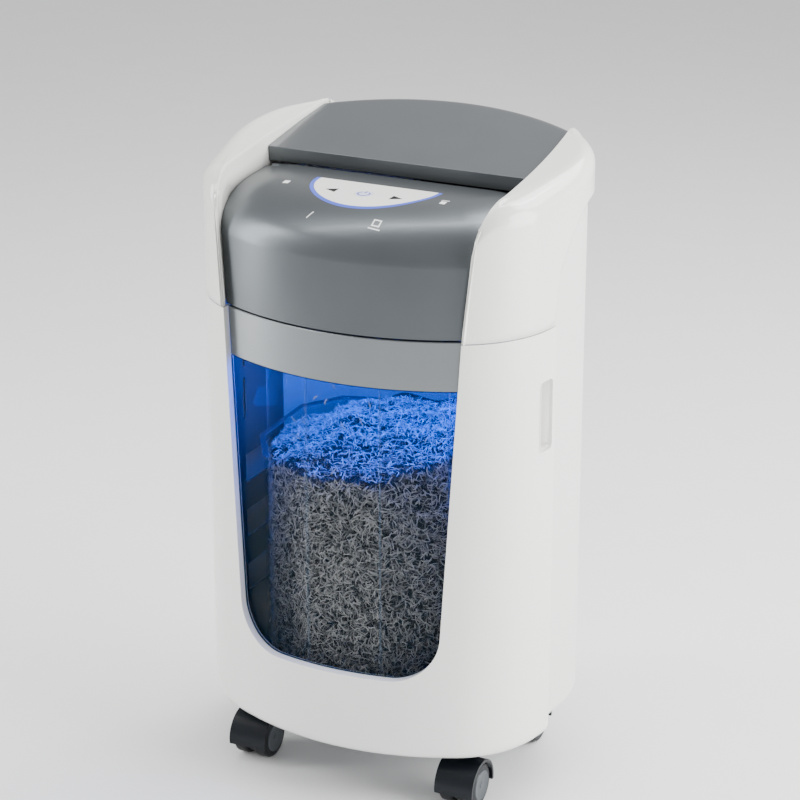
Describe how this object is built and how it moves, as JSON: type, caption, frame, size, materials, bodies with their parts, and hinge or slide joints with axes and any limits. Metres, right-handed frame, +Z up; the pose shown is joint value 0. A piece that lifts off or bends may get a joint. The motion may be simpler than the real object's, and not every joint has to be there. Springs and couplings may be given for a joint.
{
  "type": "paper shredder",
  "caption": "Office paper shredder on twin-wheel casters, with a pull-out clear bin behind a tinted window, sloped white side covers, a metallic head and a half-moon control panel.",
  "frame": {"origin": "on the floor under the middle of the object's box", "axes": "+Z up, -Y towards the front (window and controls), +X to the right seen from the front"},
  "size_m": [0.3404, 0.2774, 0.5895],
  "materials": {
    "white_shell": "glossy warm white moulded plastic",
    "white_rear": "fine-textured white moulded plastic",
    "metallic_grey": "metallic grey lacquer",
    "light_metallic": "lighter metallic grey lacquer",
    "silver_band": "satin silver lacquer",
    "smoke_window": "clear tinted pane",
    "clear_bin": "clear moulded plastic",
    "control_white": "satin white",
    "blue_light": "translucent blue light guide",
    "key_black": "satin black",
    "power_key": "pale blue translucent key",
    "black_plastic": "black moulded plastic",
    "wheel_tread": "dark wheel tread with grey discs",
    "grey_structure": "grey structural plastic",
    "zinc_steel": "zinc-plated sheet steel",
    "cutter_steel": "hardened steel",
    "gear_nylon": "natural nylon",
    "gear_steel": "sintered steel",
    "bronze": "sintered bronze",
    "motor_body": "dark enamelled can",
    "board_green": "solder-masked board"
  },
  "bodies": {
    "cabinet": {"base_plate": "grey_structure", "caster_sockets": "black_plastic", "rear_housing": "white_rear", "side_frame_left": "zinc_steel", "side_frame_right": "zinc_steel", "runner_rails": "zinc_steel", "head_chassis": "grey_structure", "drawer_switch": "black_plastic", "led_strips": "blue_light", "case_screws": "zinc_steel", "mains_inlet": "black_plastic", "upper_cover_left": "white_shell", "upper_cover_right": "white_shell", "head_front_panel": "metallic_grey", "light_ring": "blue_light", "control_face": "control_white", "control_board": "board_green", "rear_slope_panel": "light_metallic", "slot_guide": "black_plastic", "paper_sensor": "black_plastic", "cutter_plate_left": "zinc_steel", "cutter_plate_right": "zinc_steel", "shaft_bushes": "bronze", "tie_rods": "zinc_steel", "front_stripper": "black_plastic", "rear_stripper": "black_plastic", "idler_axle": "zinc_steel", "motor": "motor_body", "motor_bracket": "zinc_steel", "power_board": "board_green"},
    "drawer": {"drawer_shell": "white_shell", "drawer_band": "silver_band", "drawer_window": "smoke_window", "bin_tub": "clear_bin", "drawer_tray": "grey_structure", "drawer_slides": "grey_structure"},
    "reverse_key": {"reverse_button": "key_black"},
    "power_key": {"power_button": "power_key"},
    "forward_key": {"forward_button": "key_black"},
    "rocker": {"power_rocker": "key_black"},
    "front_cutter": {"front_cutter_shaft": "cutter_steel", "front_cutters": "cutter_steel", "front_sync_gear": "gear_steel"},
    "rear_cutter": {"rear_cutter_shaft": "cutter_steel", "rear_cutters": "cutter_steel", "rear_sync_gear": "gear_steel", "rear_drive_gear": "gear_steel"},
    "idler": {"idler_gear": "gear_nylon"},
    "motor_rotor": {"motor_pinion": "gear_steel"},
    "caster_front_left": {"caster_hood_front_left": "black_plastic"},
    "wheels_front_left": {"caster_wheels_front_left": "wheel_tread"},
    "caster_front_right": {"caster_hood_front_right": "black_plastic"},
    "wheels_front_right": {"caster_wheels_front_right": "wheel_tread"},
    "caster_rear_left": {"caster_hood_rear_left": "black_plastic"},
    "wheels_rear_left": {"caster_wheels_rear_left": "wheel_tread"},
    "caster_rear_right": {"caster_hood_rear_right": "black_plastic"},
    "wheels_rear_right": {"caster_wheels_rear_right": "wheel_tread"}
  },
  "joints": [
    {"name": "drawer_slide", "type": "slide", "parent": "cabinet", "child": "drawer", "axis": [0, -1, 0], "range_m": [0, 0.24]},
    {"name": "reverse_press", "type": "slide", "parent": "cabinet", "child": "reverse_key", "axis": [0, 0, -1], "range_m": [0, 0.0008], "stiffness_N_per_m": 400, "springref_m": -0.0008},
    {"name": "power_press", "type": "slide", "parent": "cabinet", "child": "power_key", "axis": [0, 0, -1], "range_m": [0, 0.0008], "stiffness_N_per_m": 400, "springref_m": -0.0008},
    {"name": "forward_press", "type": "slide", "parent": "cabinet", "child": "forward_key", "axis": [0, 0, -1], "range_m": [0, 0.0008], "stiffness_N_per_m": 400, "springref_m": -0.0008},
    {"name": "rocker_tilt", "type": "hinge", "parent": "cabinet", "child": "rocker", "pos_m": [-0.033, 0.11034, 0.465], "axis": [1, 0, 0], "range_deg": [0, 16]},
    {"name": "front_cutter_spin", "type": "hinge", "parent": "cabinet", "child": "front_cutter", "pos_m": [0, -0.01916, 0.492], "axis": [1, 0, 0], "continuous": true},
    {"name": "rear_cutter_spin", "type": "hinge", "parent": "cabinet", "child": "rear_cutter", "pos_m": [0, 0.01484, 0.492], "axis": [1, 0, 0], "continuous": true},
    {"name": "idler_spin", "type": "hinge", "parent": "cabinet", "child": "idler", "pos_m": [0.12, 0.04518, 0.51404], "axis": [1, 0, 0], "continuous": true},
    {"name": "motor_spin", "type": "hinge", "parent": "cabinet", "child": "motor_rotor", "pos_m": [0.1, 0.07608, 0.49761], "axis": [1, 0, 0], "continuous": true},
    {"name": "swivel_front_left", "type": "hinge", "parent": "cabinet", "child": "caster_front_left", "pos_m": [-0.105, -0.06666, 0.06], "axis": [0, 0, 1], "continuous": true},
    {"name": "roll_front_left", "type": "hinge", "parent": "caster_front_left", "child": "wheels_front_left", "pos_m": [-0.105, -0.07866, 0.02], "axis": [1, 0, 0], "continuous": true},
    {"name": "swivel_front_right", "type": "hinge", "parent": "cabinet", "child": "caster_front_right", "pos_m": [0.105, -0.06666, 0.06], "axis": [0, 0, 1], "continuous": true},
    {"name": "roll_front_right", "type": "hinge", "parent": "caster_front_right", "child": "wheels_front_right", "pos_m": [0.105, -0.07866, 0.02], "axis": [1, 0, 0], "continuous": true},
    {"name": "swivel_rear_left", "type": "hinge", "parent": "cabinet", "child": "caster_rear_left", "pos_m": [-0.105, 0.06934, 0.06], "axis": [0, 0, 1], "continuous": true},
    {"name": "roll_rear_left", "type": "hinge", "parent": "caster_rear_left", "child": "wheels_rear_left", "pos_m": [-0.105, 0.05734, 0.02], "axis": [1, 0, 0], "continuous": true},
    {"name": "swivel_rear_right", "type": "hinge", "parent": "cabinet", "child": "caster_rear_right", "pos_m": [0.105, 0.06934, 0.06], "axis": [0, 0, 1], "continuous": true},
    {"name": "roll_rear_right", "type": "hinge", "parent": "caster_rear_right", "child": "wheels_rear_right", "pos_m": [0.105, 0.05734, 0.02], "axis": [1, 0, 0], "continuous": true}
  ],
  "couplings": [
    {"joint": "rear_cutter_spin", "follows": "front_cutter_spin", "ratio": -1},
    {"joint": "idler_spin", "follows": "front_cutter_spin", "ratio": 2.5714},
    {"joint": "motor_spin", "follows": "front_cutter_spin", "ratio": -10.286}
  ]
}
